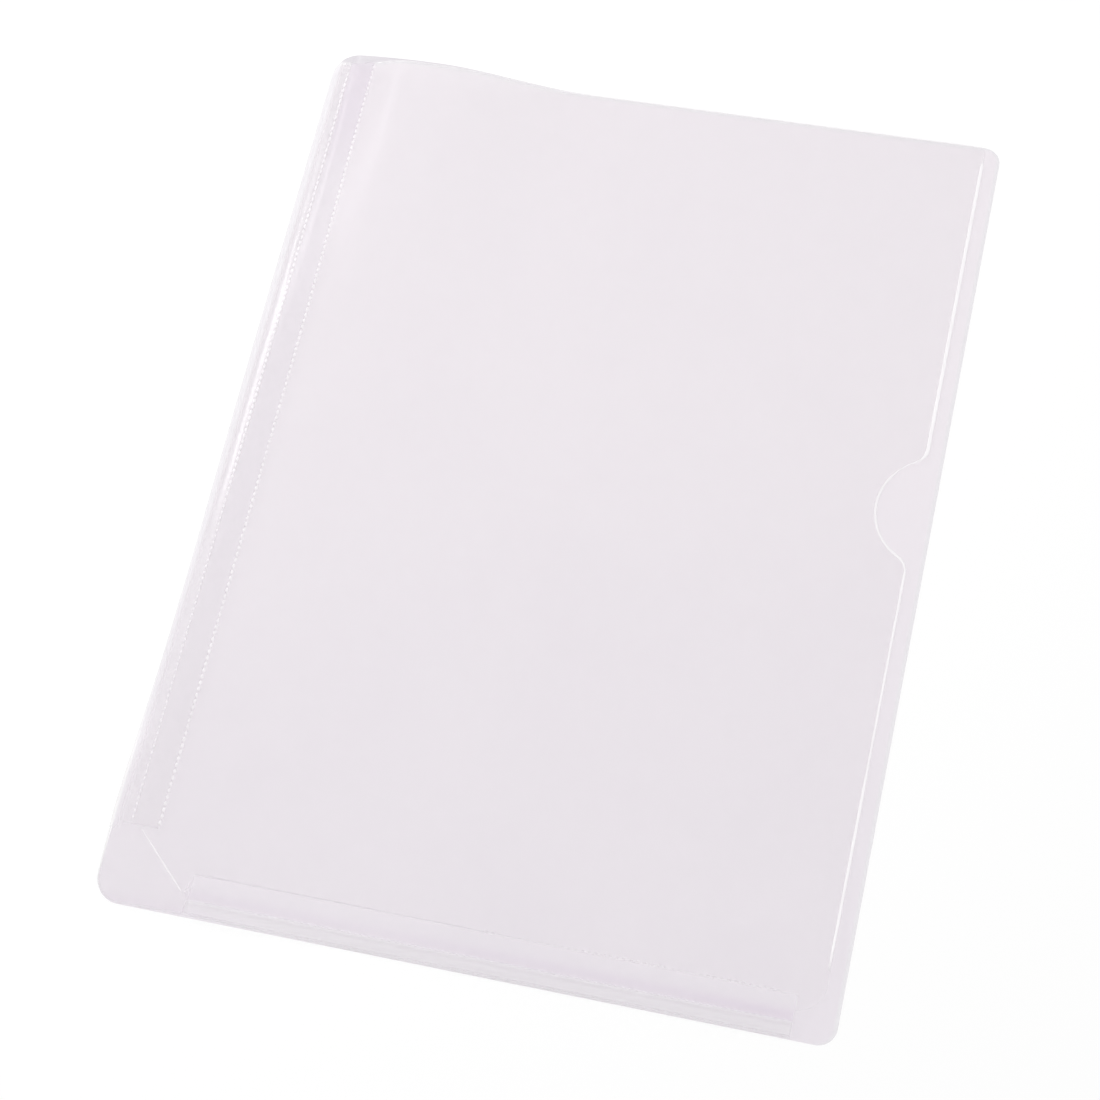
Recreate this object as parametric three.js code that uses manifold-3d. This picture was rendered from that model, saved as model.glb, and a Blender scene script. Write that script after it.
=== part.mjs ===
// An expanding pocket for A4 paper, made of clear plastic film: a back sheet, a front sheet with a
// thumb notch, and two V-folded gusset strips that join them along the left side and the bottom.
// It is open at the top and on the right. The pocket lies on its back sheet, as it does when empty.
// Millimetres, +Z up, +Y towards the open top, origin at the centre of the back sheet's underside.

import * as THREE from 'three';
import { mergeVertices } from 'three/addons/utils/BufferGeometryUtils.js';
import Module from 'manifold-3d';

const wasm = await Module();
wasm.setup();

// The film
const filmThickness = 0.25;
const airGap = 0.3; // air left between two films that lie on each other

// The back sheet
const pocketWidth = 240;
const pocketHeight = 315;
const topCornerRadius = 6;
const bottomCornerRadius = 9;

// The front sheet
const frontInset = 5.3; // its right edge stops this far short of the back sheet's
const frontTopCornerRadius = 3; // at its top right
const frontFootHeight = 8.8; // where the round cut meets the end of the bottom gusset
const notchRadius = 19.3;
const notchDepth = 13.2;
const notchFillet = 6;
const notchHeight = 177.5; // of the notch's middle, above the bottom edge

// The gusset strips
const leafWidth = 8.8; // from the weld to the inner crease
const leafEndClearance = 0.15; // from a leaf's long edge to the line that it turns about
const leftWeldInset = 7;
const bottomWeldInset = 5;
const leftGussetFoot = 26; // the left strip's lower end, above the bottom edge
const bottomGussetStart = 31.7; // the bottom strip's left end, from the left edge
const bottomGussetMargin = 13.7; // from the bottom strip's right end to the right edge

// How the empty pocket lies: the folded strips hold the sheets apart at the welds, and the front
// sheet comes down onto the back sheet away from them, apart from a bow at the top left. The free
// flanges outside the welds droop towards each other.
const restOpening = 3; // clear height between the sheets at the welds
const leftFallLength = 90;
const bottomFallLength = 60;
const flangeDroop = 1.6; // at the outer edge
const flangeDroopFade = 40; // how far from the lower left corner's fold it takes to droop in full
const bowHeight = 5.3;
const bowRiseLength = 30;
const bowCrestLength = 6;
const bowFallLength = 48;
const bowReach = 115; // how far down from the top edge the bow fades out

// The front sheet's lower left corner, which bends down as the pocket opens
const cornerFoldClearance = 0.2; // from the fold line to the film on either side of it

// Steps of the front sheet's surface, close where it curves and far apart where it hardly does
const closeStep = 8;
const wideStep = 32;
const arcSegments = 10;

const frontWidth = pocketWidth - frontInset;
const bottomGussetEnd = pocketWidth - bottomGussetMargin;
const frontUnderside = filmThickness + restOpening;

// Half the distance between the middles of two films that lie on each other, which is how far the
// middle of a leaf lies from the lines that it turns about, so that folded leaves lie side by side.
const leafOffset = (airGap + filmThickness) / 2;
const weldStandoff = airGap + filmThickness / 2 + leafOffset;
const backWeldHeight = filmThickness + weldStandoff;
const frontWeldHeight = frontUnderside - weldStandoff;
const leafTilt = Math.asin((frontWeldHeight - backWeldHeight) / (2 * leafWidth));

// The corner reaches as far from its fold line as the front sheet can rise, two leaf widths, so it
// can still touch the back sheet when the gussets stand upright.
const cornerLength = 2 * leafWidth;
const cornerTipDistance = bottomCornerRadius * (Math.SQRT2 - 1); // from the square corner to the tip
const cornerFoldDistance = cornerTipDistance + cornerLength;
const cornerTilt = Math.asin((restOpening - airGap) / cornerLength);

const filmMaterial = (opacity) =>
  new THREE.MeshStandardMaterial({
    color: 0xece7ed,
    roughness: 0.14,
    metalness: 0,
    transparent: true,
    opacity,
  });

// An outline drawn from the pocket's lower left corner, extruded upwards from its own plane.
function plate(outline, thickness) {
  return new THREE.ExtrudeGeometry(outline, {
    depth: thickness,
    bevelEnabled: false,
    curveSegments: arcSegments,
  });
}

function solid(geometry) {
  const bare = geometry.clone();
  bare.deleteAttribute('normal');
  bare.deleteAttribute('uv');
  const merged = mergeVertices(bare, 1e-5);
  return new wasm.Manifold(
    new wasm.Mesh({
      numProp: 3,
      vertProperties: new Float32Array(merged.attributes.position.array),
      triVerts: new Uint32Array(merged.index.array),
    }),
  );
}

function geometryOf(manifold) {
  const mesh = manifold.getMesh();
  const geometry = new THREE.BufferGeometry();
  geometry.setAttribute('position', new THREE.BufferAttribute(mesh.vertProperties, 3));
  geometry.setIndex(new THREE.BufferAttribute(mesh.triVerts, 1));
  geometry.computeVertexNormals();
  return geometry;
}

// 0 before the start of a length, 1 after its end, and a smooth rise between
function rise(distance, length) {
  const share = Math.min(Math.max(distance / length, 0), 1);
  return share * share * (3 - 2 * share);
}

// The same limits, with a steep start that eases off
function swell(distance, length) {
  const share = Math.min(Math.max(distance / length, 0), 1);
  return 1 - (1 - share) ** 3;
}

// Clear height under the front sheet at a point measured from the pocket's lower left corner
function clearHeight(x, y) {
  const fromLeftWeld = x - leftWeldInset;
  const fallen = rise(fromLeftWeld, leftFallLength) * rise(y - bottomWeldInset, bottomFallLength);
  const bowEnd = bowRiseLength + bowCrestLength;
  const bowAcross = swell(fromLeftWeld, bowRiseLength) * (1 - rise(fromLeftWeld - bowEnd, bowFallLength));
  const bowAlong = rise(y - (pocketHeight - bowReach), bowReach);
  const pastWelds = Math.max(1 - x / leftWeldInset, 1 - y / bottomWeldInset, 0);
  const drooped = pastWelds * rise((x + y) / Math.SQRT2 - cornerFoldDistance, flangeDroopFade);
  const opened = (restOpening - airGap) * (1 - fallen) - flangeDroop * drooped;
  return airGap + opened + bowHeight * bowAcross * bowAlong;
}

// Grid lines from 0 to the last limit: each limit has the step of the stretch that ends there.
function gridLines(stretches) {
  const lines = [0];
  for (const { limit, step } of stretches) {
    const from = lines[lines.length - 1];
    const count = Math.max(1, Math.round((limit - from) / step));
    for (let i = 1; i <= count; i++) lines.push(from + ((limit - from) * i) / count);
  }
  return lines;
}

// A closed slab of film over a grid, with its underside at the clear height above the back sheet
function curvedSlab(xs, ys) {
  const points = [];
  const faces = [];
  const columns = xs.length;
  const rows = ys.length;
  for (const lift of [0, filmThickness]) {
    for (const y of ys) {
      for (const x of xs) points.push(x, y, filmThickness + clearHeight(x, y) + lift);
    }
  }
  const under = (i, j) => j * columns + i;
  const over = (i, j) => columns * rows + under(i, j);
  const quad = (a, b, c, d) => faces.push(a, b, c, a, c, d);
  for (let j = 0; j < rows - 1; j++) {
    for (let i = 0; i < columns - 1; i++) {
      quad(over(i, j), over(i + 1, j), over(i + 1, j + 1), over(i, j + 1));
      quad(under(i, j), under(i, j + 1), under(i + 1, j + 1), under(i + 1, j));
    }
  }
  for (let i = 0; i < columns - 1; i++) {
    quad(under(i, 0), under(i + 1, 0), over(i + 1, 0), over(i, 0));
    quad(under(i + 1, rows - 1), under(i, rows - 1), over(i, rows - 1), over(i + 1, rows - 1));
  }
  for (let j = 0; j < rows - 1; j++) {
    quad(under(0, j + 1), under(0, j), over(0, j), over(0, j + 1));
    quad(under(columns - 1, j), under(columns - 1, j + 1), over(columns - 1, j + 1), over(columns - 1, j));
  }
  const geometry = new THREE.BufferGeometry();
  geometry.setAttribute('position', new THREE.Float32BufferAttribute(points, 3));
  geometry.setIndex(faces);
  return geometry;
}

function backOutline() {
  const shape = new THREE.Shape();
  const low = bottomCornerRadius;
  const high = topCornerRadius;
  shape.moveTo(low, 0);
  shape.absarc(pocketWidth - low, low, low, -Math.PI / 2, 0);
  shape.absarc(pocketWidth - high, pocketHeight - high, high, 0, Math.PI / 2);
  shape.absarc(high, pocketHeight - high, high, Math.PI / 2, Math.PI);
  shape.absarc(low, low, low, Math.PI, 1.5 * Math.PI);
  return shape;
}

// The thumb notch: a round cut into the right edge, with a fillet at each shoulder. The fillet's
// centre lies outside the notch circle by its own radius, and inside the edge by the same.
function addNotch(shape) {
  const centreX = frontWidth - notchDepth + notchRadius;
  const filletX = frontWidth - notchFillet;
  const reach = notchRadius + notchFillet;
  const filletDrop = Math.sqrt(reach ** 2 - (centreX - filletX) ** 2);
  const turn = Math.atan2(filletDrop, centreX - filletX);
  shape.absarc(filletX, notchHeight - filletDrop, notchFillet, 0, turn);
  shape.absarc(centreX, notchHeight, notchRadius, Math.PI + turn, Math.PI - turn, true);
  shape.absarc(filletX, notchHeight + filletDrop, notchFillet, -turn, 0);
}

function frontOutline() {
  const shape = new THREE.Shape();
  const foldEnd = (cornerFoldDistance + cornerFoldClearance) * Math.SQRT2;
  const footRadius = frontWidth - bottomGussetEnd;
  const high = topCornerRadius;
  const right = frontTopCornerRadius;
  shape.moveTo(foldEnd, 0);
  shape.lineTo(bottomGussetEnd, 0);
  shape.lineTo(bottomGussetEnd, frontFootHeight);
  shape.absarc(bottomGussetEnd, frontFootHeight + footRadius, footRadius, -Math.PI / 2, 0);
  addNotch(shape);
  shape.absarc(frontWidth - right, pocketHeight - right, right, 0, Math.PI / 2);
  shape.absarc(high, pocketHeight - high, high, Math.PI / 2, Math.PI);
  shape.lineTo(0, foldEnd);
  return shape;
}

function cornerOutline() {
  const shape = new THREE.Shape();
  const foldEnd = (cornerFoldDistance - cornerFoldClearance) * Math.SQRT2;
  const low = bottomCornerRadius;
  shape.moveTo(foldEnd, 0);
  shape.lineTo(0, foldEnd);
  shape.absarc(low, low, low, Math.PI, 1.5 * Math.PI);
  return shape;
}

function named(name, geometry, opacity = 0.35) {
  const mesh = new THREE.Mesh(geometry, filmMaterial(opacity));
  mesh.name = name;
  return mesh;
}

function makeBackSheet() {
  return named('back_sheet', plate(backOutline(), filmThickness));
}

function makeFrontSheet() {
  const xs = gridLines([
    { limit: leftWeldInset, step: wideStep },
    { limit: leftWeldInset + bowRiseLength, step: closeStep / 2 },
    { limit: leftWeldInset + leftFallLength, step: closeStep },
    { limit: pocketWidth, step: wideStep },
  ]);
  const ys = gridLines([
    { limit: bottomWeldInset, step: wideStep },
    { limit: bottomWeldInset + bottomFallLength, step: closeStep },
    { limit: pocketHeight - bowReach, step: wideStep },
    { limit: pocketHeight, step: closeStep },
  ]);
  const column = solid(plate(frontOutline(), pocketWidth));
  return named('front_sheet', geometryOf(solid(curvedSlab(xs, ys)).intersect(column)));
}

// The corner is flat. It turns about the fold line, which crosses the lower left corner at 45
// degrees in the middle of the film's thickness, and droops from there to the back sheet.
function makeFrontCorner() {
  const foldMiddle = cornerFoldDistance / Math.SQRT2;
  const geometry = plate(cornerOutline(), filmThickness);
  geometry.translate(-foldMiddle, -foldMiddle, -filmThickness / 2);
  const hinge = new THREE.Group();
  hinge.position.set(foldMiddle, foldMiddle, frontUnderside + filmThickness / 2);
  hinge.quaternion.setFromAxisAngle(new THREE.Vector3(1, -1, 0).normalize(), cornerTilt);
  hinge.add(named('front_sheet_corner', geometry));
  return hinge;
}

// One leaf of a gusset: a flat strip between its weld and the inner crease. In its group, X runs
// from the weld to the crease and Y along the strip. side is -1 for the leaf on the back sheet,
// which rises from its weld, and 1 for the leaf on the front sheet, which falls from its weld.
function makeLeaf(name, length, side) {
  const width = leafWidth - 2 * leafEndClearance;
  const leaf = named(name, new THREE.BoxGeometry(width, length, filmThickness), 0.3);
  leaf.position.set(leafWidth / 2, length / 2, side * leafOffset);
  const fold = new THREE.Group();
  fold.rotation.y = side * leafTilt;
  fold.position.z = side < 0 ? backWeldHeight : frontWeldHeight;
  fold.add(leaf);
  return fold;
}

function makeGusset(side, length) {
  const strip = new THREE.Group();
  strip.add(makeLeaf(`${side}_gusset_back_leaf`, length, -1));
  strip.add(makeLeaf(`${side}_gusset_front_leaf`, length, 1));
  return strip;
}

const leftGusset = makeGusset('left', pocketHeight - leftGussetFoot);
leftGusset.position.set(leftWeldInset, leftGussetFoot, 0);

// The bottom strip is turned a quarter turn, so its own X points up the pocket and its own Y left.
const bottomGusset = makeGusset('bottom', bottomGussetEnd - bottomGussetStart);
bottomGusset.position.set(bottomGussetEnd, bottomWeldInset, 0);
bottomGusset.rotation.z = Math.PI / 2;

const sheets = new THREE.Group();
sheets.add(makeBackSheet(), makeFrontSheet(), makeFrontCorner());

const pocket = new THREE.Group();
pocket.position.set(-pocketWidth / 2, -pocketHeight / 2, 0);
pocket.add(sheets, leftGusset, bottomGusset);

const part = new THREE.Group();
part.add(pocket);

export default part;
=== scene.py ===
import math
import bpy
import numpy as np
from mathutils import Matrix, Vector


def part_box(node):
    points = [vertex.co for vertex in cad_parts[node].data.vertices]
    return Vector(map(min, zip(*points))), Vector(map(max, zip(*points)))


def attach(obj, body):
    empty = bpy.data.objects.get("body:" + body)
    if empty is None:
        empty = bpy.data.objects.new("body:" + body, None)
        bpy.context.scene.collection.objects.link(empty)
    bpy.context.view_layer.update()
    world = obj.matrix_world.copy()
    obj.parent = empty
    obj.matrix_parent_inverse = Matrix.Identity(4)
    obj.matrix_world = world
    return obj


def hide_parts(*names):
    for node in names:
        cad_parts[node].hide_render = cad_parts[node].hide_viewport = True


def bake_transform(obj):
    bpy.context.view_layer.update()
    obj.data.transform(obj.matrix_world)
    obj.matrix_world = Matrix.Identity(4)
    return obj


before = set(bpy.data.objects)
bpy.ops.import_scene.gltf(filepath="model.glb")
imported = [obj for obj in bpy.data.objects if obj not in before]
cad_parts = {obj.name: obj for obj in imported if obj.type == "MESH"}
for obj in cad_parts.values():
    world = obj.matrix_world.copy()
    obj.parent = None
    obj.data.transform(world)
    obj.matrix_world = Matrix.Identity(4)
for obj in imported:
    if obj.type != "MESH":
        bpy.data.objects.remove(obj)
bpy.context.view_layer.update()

# Lengths are in millimetres from the lower left corner of the back sheet's outline.
sheetLow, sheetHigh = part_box("back_sheet")
pocket = {
    "width": round((sheetHigh[0] - sheetLow[0]) * 1000.0, 3),
    "height": round((sheetHigh[1] - sheetLow[1]) * 1000.0, 3),
    "film": round((sheetHigh[2] - sheetLow[2]) * 1000.0, 3),
    "leftWeld": 7.0,  # from the left edge in to the weld
    "bottomWeld": 5.0,
    "cornerFold": 21.328,  # from the corner to the fold across it
}


# From 0 to 1 with level ends: 3t squared less 2t cubed, held outside that range
def rise(t):
    t = np.clip(t, 0.0, 1.0)
    return t * t * (3.0 - 2.0 * t)


# 1 between two places and 0 beyond them: a rise over a length inwards from each
def between(value, start, startLength, end, endLength):
    return rise((value - start) / startLength) * rise((end - value) / endLength)


# A row of positions from the first stop to the last, with the step given between each two stops
def spaced(*stops):
    parts = [np.array([stops[0]], float)]
    for start, step, end in zip(stops[0::2], stops[1::2], stops[2::2]):
        count = max(1, round((end - start) / step))
        parts.append(np.linspace(start, end, count + 1)[1:])
    return np.concatenate(parts)


# Points in millimetres from the corner, as metres in the shared frame
def toFrame(points):
    offset = np.array([pocket["width"] / 2.0, pocket["height"] / 2.0, 0.0])
    return (np.asarray(points, float) - offset) / 1000.0


# A mesh object from points in millimetres and faces of three or four corners. The faces of a cut
# edge are shaded flat and marked in the attribute edge.
def meshObject(name, points, faces, material, cut=None):
    mesh = bpy.data.meshes.new(name)
    mesh.from_pydata(toFrame(points).tolist(), [], [list(f) for f in faces])
    cut = np.zeros(len(mesh.polygons), bool) if cut is None else cut
    mesh.polygons.foreach_set("use_smooth", ~cut)
    mesh.update()
    if cut.any():
        corners = np.array([loop.edge_index for loop in mesh.loops])
        sides = np.array([polygon.loop_total for polygon in mesh.polygons])
        sharp = np.zeros(len(mesh.edges), bool)
        sharp[corners[np.repeat(cut, sides)]] = True
        mesh.edges.foreach_set("use_edge_sharp", sharp)
        edge = mesh.attributes.new("edge", "FLOAT", "FACE")
        edge.data.foreach_set("value", cut.astype(np.float32))
    mesh.materials.append(material)
    made = bpy.data.objects.new(name, mesh)
    bpy.context.scene.collection.objects.link(made)
    return made


# The quads of a grid whose points are numbered row by row
def gridQuads(rows, columns, first=0):
    index = first + np.arange(rows * columns).reshape(rows, columns)
    corners = (index[:-1, :-1], index[:-1, 1:], index[1:, 1:], index[1:, :-1])
    return np.stack(corners, axis=-1).reshape(-1, 4)


# The quads between closed rings of points: each ring is one row of the numbers given
def ringQuads(index):
    beside = np.roll(index, -1, axis=1)
    return np.stack([index[:-1], index[1:], beside[1:], beside[:-1]], axis=-1).reshape(-1, 4)


# A closed film of even thickness: the upper face is the grid given, the lower one lies a film
# below it, and a strip of quads joins their borders. Each mask is a value at every grid point.
def filmSlab(name, x, y, top, material, thickness, masks=None):
    rows, columns = x.shape
    upper = np.stack([x, y, top], axis=-1).reshape(-1, 3)
    lower = upper - np.array([0.0, 0.0, thickness])
    count = rows * columns
    index = np.arange(count).reshape(rows, columns)
    loop = np.concatenate([index[0, :-1], index[:-1, -1], index[-1, :0:-1], index[:0:-1, 0]])
    after = np.roll(loop, -1)
    side = np.stack([loop + count, after + count, after, loop], axis=-1)
    flats = np.concatenate([gridQuads(rows, columns), gridQuads(rows, columns, count)[:, ::-1]])
    faces = np.concatenate([flats, side])
    cut = np.arange(len(faces)) >= len(flats)
    made = meshObject(name, np.concatenate([upper, lower]), faces, material, cut)
    for label, values in (masks or {}).items():
        attribute = made.data.attributes.new(label, "FLOAT", "POINT")
        attribute.data.foreach_set("value", np.tile(values.ravel(), 2).astype(np.float32))
    return made


# A closed bar: an oval profile carried along a path of places (x, y), its size scaled at each of
# them, and closed at both ends by a point. Its heights are added to those of the surface under it.
def bar(name, path, surface, halfWidth, halfHeight, material, scale=None, sides=12):
    path = np.asarray(path, float)
    count = len(path)
    scale = (np.ones(count) if scale is None else scale)[:, None]
    ahead = np.gradient(path, axis=0)
    across = np.stack([ahead[:, 1], -ahead[:, 0]], axis=-1) / np.linalg.norm(ahead, axis=1)[:, None]
    turn = np.linspace(0.0, 2.0 * math.pi, sides, endpoint=False)
    ring = path[:, None, :] + across[:, None, :] * (halfWidth * np.cos(turn) * scale)[..., None]
    x, y = np.moveaxis(np.concatenate([ring.reshape(-1, 2), path[:1], path[-1:]]), -1, 0)
    high = np.append(halfHeight * np.sin(turn) * scale, (0.0, 0.0))
    points = np.stack([x, y, surface(x, y) + high], axis=-1)
    index = np.arange(count * sides).reshape(count, sides)
    beside = np.roll(index, -1, axis=1)
    first = [[count * sides, a, b] for a, b in zip(index[0], beside[0])]
    last = [[count * sides + 1, b, a] for a, b in zip(index[-1], beside[-1])]
    return meshObject(name, points, ringQuads(index).tolist() + first + last, material)


# A row of closed oval beads, one at each place (x, y): a ball whose three half sizes are given
# along the line, across it and in height. Its heights are added to those of the surface under it.
def beads(name, places, surface, direction, halfSizes, material, rings=4, sides=8):
    places = np.asarray(places, float)
    ahead = np.array(direction, float)
    tilt = np.linspace(0.0, math.pi, rings + 2)[1:-1]
    turn = np.linspace(0.0, 2.0 * math.pi, sides, endpoint=False)
    along = np.append(np.sin(tilt)[:, None] * np.cos(turn), (0.0, 0.0))
    wide = np.append(np.sin(tilt)[:, None] * np.sin(turn), (0.0, 0.0))
    high = np.append(np.repeat(np.cos(tilt), sides), (1.0, -1.0))
    length, width, height = (np.broadcast_to(half, len(places))[:, None] for half in halfSizes)
    x = places[:, :1] + along * length * ahead[0] - wide * width * ahead[1]
    y = places[:, 1:] + along * length * ahead[1] + wide * width * ahead[0]
    points = np.stack([x, y, surface(x, y) + high * height], axis=-1)
    index = np.arange(rings * sides).reshape(rings, sides)
    beside = np.roll(index, -1, axis=1)
    top = np.stack([np.full(sides, rings * sides), index[0], beside[0]], axis=-1)
    foot = np.stack([np.full(sides, rings * sides + 1), beside[-1], index[-1]], axis=-1)
    starts = np.arange(len(places))[:, None, None] * (rings * sides + 2)
    faces = (ringQuads(index)[None] + starts).reshape(-1, 4).tolist()
    faces += (np.concatenate([top, foot])[None] + starts).reshape(-1, 3).tolist()
    return meshObject(name, points.reshape(-1, 3), faces, material)


# Joins a socket to an input, or sets the input to a plain value
def join(tree, given, socket):
    if isinstance(given, bpy.types.NodeSocket):
        tree.links.new(given, socket)
    else:
        socket.default_value = given


# A mix of two colours or two values by a factor: a times (1 - factor) plus b times the factor
def mixNode(tree, kind, factor, a, b):
    node = tree.nodes.new("ShaderNodeMix")
    node.data_type = kind
    first, result = {"FLOAT": (2, 0), "RGBA": (6, 2)}[kind]
    for given, place in ((factor, 0), (a, first), (b, first + 1)):
        join(tree, given, node.inputs[place])
    return node.outputs[result]


# One operation on two values
def mathNode(tree, operation, a, b):
    node = tree.nodes.new("ShaderNodeMath")
    node.operation = operation
    join(tree, a, node.inputs[0])
    join(tree, b, node.inputs[1])
    return node.outputs["Value"]


# A value carried in a straight line from one range to another, and held inside it
def rangeNode(tree, value, low, high, start, end):
    node = tree.nodes.new("ShaderNodeMapRange")
    labels = ("Value", "From Min", "From Max", "To Min", "To Max")
    for label, given in zip(labels, (value, low, high, start, end)):
        join(tree, given, node.inputs[label])
    return node.outputs["Result"]


# A noise over the piece's own position, stretched by a scale on each axis
def noiseNode(tree, place, scale, detail, stretch=(1.0, 1.0, 1.0), turn=0.0):
    mapping = tree.nodes.new("ShaderNodeMapping")
    mapping.inputs["Scale"].default_value = stretch
    mapping.inputs["Rotation"].default_value = (0.0, 0.0, turn)
    tree.links.new(place, mapping.inputs["Vector"])
    node = tree.nodes.new("ShaderNodeTexNoise")
    node.inputs["Detail"].default_value = detail
    join(tree, scale, node.inputs["Scale"])
    tree.links.new(mapping.outputs["Vector"], node.inputs["Vector"])
    return node.outputs["Fac"]


# A value that the mesh holds at its points or faces
def maskNode(tree, name):
    node = tree.nodes.new("ShaderNodeAttribute")
    node.attribute_name = name
    return node.outputs["Fac"]


# An empty shader node group with its inputs at their usual values, and its outputs
def newGroup(name, inputs, outputs):
    group = bpy.data.node_groups.new(name, "ShaderNodeTree")
    for label, value in inputs.items():
        kind = "NodeSocketColor" if isinstance(value, tuple) else "NodeSocketFloat"
        socket = group.interface.new_socket(name=label, in_out="INPUT", socket_type=kind)
        socket.default_value = value
    for label in outputs:
        kind = "NodeSocketColor" if label == "Color" else "NodeSocketFloat"
        group.interface.new_socket(name=label, in_out="OUTPUT", socket_type=kind)
    return group, group.nodes.new("NodeGroupInput").outputs, group.nodes.new("NodeGroupOutput").inputs


# The film's wear and painted shade. The noises' sizes are per metre, and the broad painted shade of light
# falling off runs between two heights in metres up from the sheet's middle.
filmWearAndShade = {
    "markStretch": (420.0, 26.0, 60.0), "markTurn": 0.35,  # rubbed marks, long along the sheet
    "grainSize": 900.0, "grainShare": 0.35, "cloudSize": 14.0, "cloudLow": 0.35, "cloudHigh": 0.65,
    "shadeStart": 0.05, "shadeEnd": -pocket["height"] / 2000.0,
}


# Clear film. Its colour goes from the tint to the shade in broad clouds, and towards the bottom edge as
# painted shade of light falling off, then to the dark of painted shade bands, the pale of the rolled side,
# the rim of the mouth and the cut edges. The shine is smoother than the rest.
def filmGroup():
    group, given, out = newGroup("filmLook", {
        "Tint": (0.8, 0.75, 0.82, 1.0), "Shade": (0.7, 0.65, 0.72, 1.0), "Density": 0.3,
        "Cloud": 0.1, "Low": 0.1, "Dark": (0.66, 0.56, 0.68, 1.0),
        "Pale": (0.885, 0.87, 0.895, 1.0), "Pale Density": 0.75,
        "Rim": (0.555, 0.51, 0.58, 1.0), "Rim Density": 0.35,
        "Edge": (1.0, 0.99, 1.0, 1.0), "Edge Density": 0.12,
        "Smooth": 0.12, "Rough": 0.33,
    }, ("Color", "Density", "Roughness", "Height"))
    place = group.nodes.new("ShaderNodeTexCoord").outputs["Object"]
    split = group.nodes.new("ShaderNodeSeparateXYZ")
    group.links.new(place, split.inputs["Vector"])
    marks = noiseNode(group, place, 1.0, 4.0, filmWearAndShade["markStretch"], filmWearAndShade["markTurn"])
    grain = noiseNode(group, place, filmWearAndShade["grainSize"], 2.0)
    clouds = noiseNode(group, place, filmWearAndShade["cloudSize"], 3.0)
    clouds = rangeNode(group, clouds, filmWearAndShade["cloudLow"], filmWearAndShade["cloudHigh"], -0.5, 0.5)
    # painted shade: the share of light falling off towards the bottom edge
    along = rangeNode(group, split.outputs["Y"], filmWearAndShade["shadeStart"], filmWearAndShade["shadeEnd"], 0.0, 1.0)
    lower = mathNode(group, "MULTIPLY", along, given["Low"])
    amount = mathNode(group, "ADD", mathNode(group, "MULTIPLY", clouds, given["Cloud"]), lower)
    pale, shine = maskNode(group, "pale"), maskNode(group, "shine")
    rim, edge = maskNode(group, "rim"), maskNode(group, "edge")
    colour = mixNode(group, "RGBA", amount, given["Tint"], given["Shade"])
    colour = mixNode(group, "RGBA", maskNode(group, "shade"), colour, given["Dark"])
    colour = mixNode(group, "RGBA", pale, colour, given["Pale"])
    colour = mixNode(group, "RGBA", rim, colour, given["Rim"])
    join(group, mixNode(group, "RGBA", edge, colour, given["Edge"]), out["Color"])
    density = mixNode(group, "FLOAT", pale, given["Density"], given["Pale Density"])
    density = mixNode(group, "FLOAT", rim, density, given["Rim Density"])
    join(group, mixNode(group, "FLOAT", edge, density, given["Edge Density"]), out["Density"])
    worn = mathNode(group, "MULTIPLY", given["Rough"], rangeNode(group, marks, 0.3, 0.7, 0.85, 1.2))
    join(group, mixNode(group, "FLOAT", shine, worn, given["Smooth"]), out["Roughness"])
    relief = mathNode(group, "ADD", marks, mathNode(group, "MULTIPLY", grain, filmWearAndShade["grainShare"]))
    unshone = mathNode(group, "SUBTRACT", 1.0, shine)
    join(group, mathNode(group, "MULTIPLY", relief, unshone), out["Height"])
    return group


# Cut edges with their painted highlight, weld beads and pressed lines: one plastic that goes from light to
# dull in patches of the length given, and thins out where it is dull
def edgeGroup():
    group, given, out = newGroup("edgeLook", {
        "Light": (1.0, 0.98, 1.0, 1.0), "Dull": (0.85, 0.82, 0.86, 1.0),
        "Density": 0.9, "Unevenness": 0.3, "Patches": 60.0,
    }, ("Color", "Density", "Height"))
    place = group.nodes.new("ShaderNodeTexCoord").outputs["Object"]
    patches = noiseNode(group, place, given["Patches"], 4.0)
    spots = rangeNode(group, patches, 0.4, 0.65, 0.0, 1.0)
    amount = mathNode(group, "MULTIPLY", spots, given["Unevenness"])
    join(group, mixNode(group, "RGBA", amount, given["Light"], given["Dull"]), out["Color"])
    kept = mathNode(group, "SUBTRACT", 1.0, amount)
    join(group, mathNode(group, "MULTIPLY", kept, given["Density"]), out["Density"])
    join(group, patches, out["Height"])
    return group


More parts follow.
